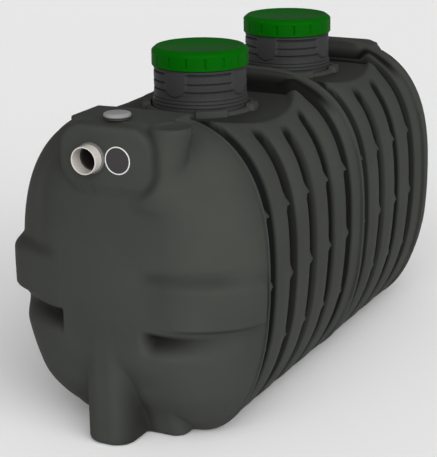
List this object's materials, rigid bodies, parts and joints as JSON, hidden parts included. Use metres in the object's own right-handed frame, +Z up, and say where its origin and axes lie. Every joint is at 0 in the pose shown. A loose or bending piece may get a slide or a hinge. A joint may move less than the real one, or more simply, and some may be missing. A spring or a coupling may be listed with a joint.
{
  "type": "septic tank",
  "caption": "Ribbed plastic septic tank lying on a flat base, with domed ends, pipe spigots, a vent and two manhole necks under screw lids.",
  "frame": {"origin": "centre of the overall box at ground level, where the flat base rests", "axes": "+Y along the tank from the inlet end to the outlet end, +Z up"},
  "size_m": [1.1462, 2.616, 1.518],
  "materials": {
    "body_plastic": "satin moulded polyethylene",
    "neck_plastic": "satin moulded polyethylene",
    "lid_plastic": "satin moulded",
    "pipe_plastic": "smooth pipe",
    "vent_plastic": "moulded",
    "rubber": "moulded rubber",
    "ring_plastic": "moulded",
    "plate_plastic": "moulded"
  },
  "bodies": {
    "tank": {"front_end": "body_plastic", "front_barrel": "body_plastic", "rear_barrel": "body_plastic", "rear_end": "body_plastic", "front_seam_lip": "body_plastic", "middle_seam_lip_a": "body_plastic", "middle_seam_lip_b": "body_plastic", "rear_seam_lip_a": "body_plastic", "rear_seam_lip_b": "body_plastic", "front_neck_socket": "body_plastic", "rear_neck_socket": "body_plastic", "front_neck": "neck_plastic", "rear_neck": "neck_plastic", "front_lid_seal": "rubber", "rear_lid_seal": "rubber", "inlet_spigot": "pipe_plastic", "inlet_seal": "rubber", "front_port_ring": "ring_plastic", "front_port_plate": "plate_plastic", "front_vent_collar": "body_plastic", "front_vent_cap": "vent_plastic", "outlet_spigot": "pipe_plastic", "outlet_seal": "rubber", "rear_port_ring": "ring_plastic", "rear_port_plate": "plate_plastic"},
    "front_lid": {"front_lid": "lid_plastic"},
    "rear_lid": {"rear_lid": "lid_plastic"}
  },
  "joints": [
    {"name": "front_lid_lift", "type": "slide", "parent": "tank", "child": "front_lid", "axis": [0, 0, 1], "range_m": [0, 0.3]},
    {"name": "rear_lid_lift", "type": "slide", "parent": "tank", "child": "rear_lid", "axis": [0, 0, 1], "range_m": [0, 0.3]}
  ]
}
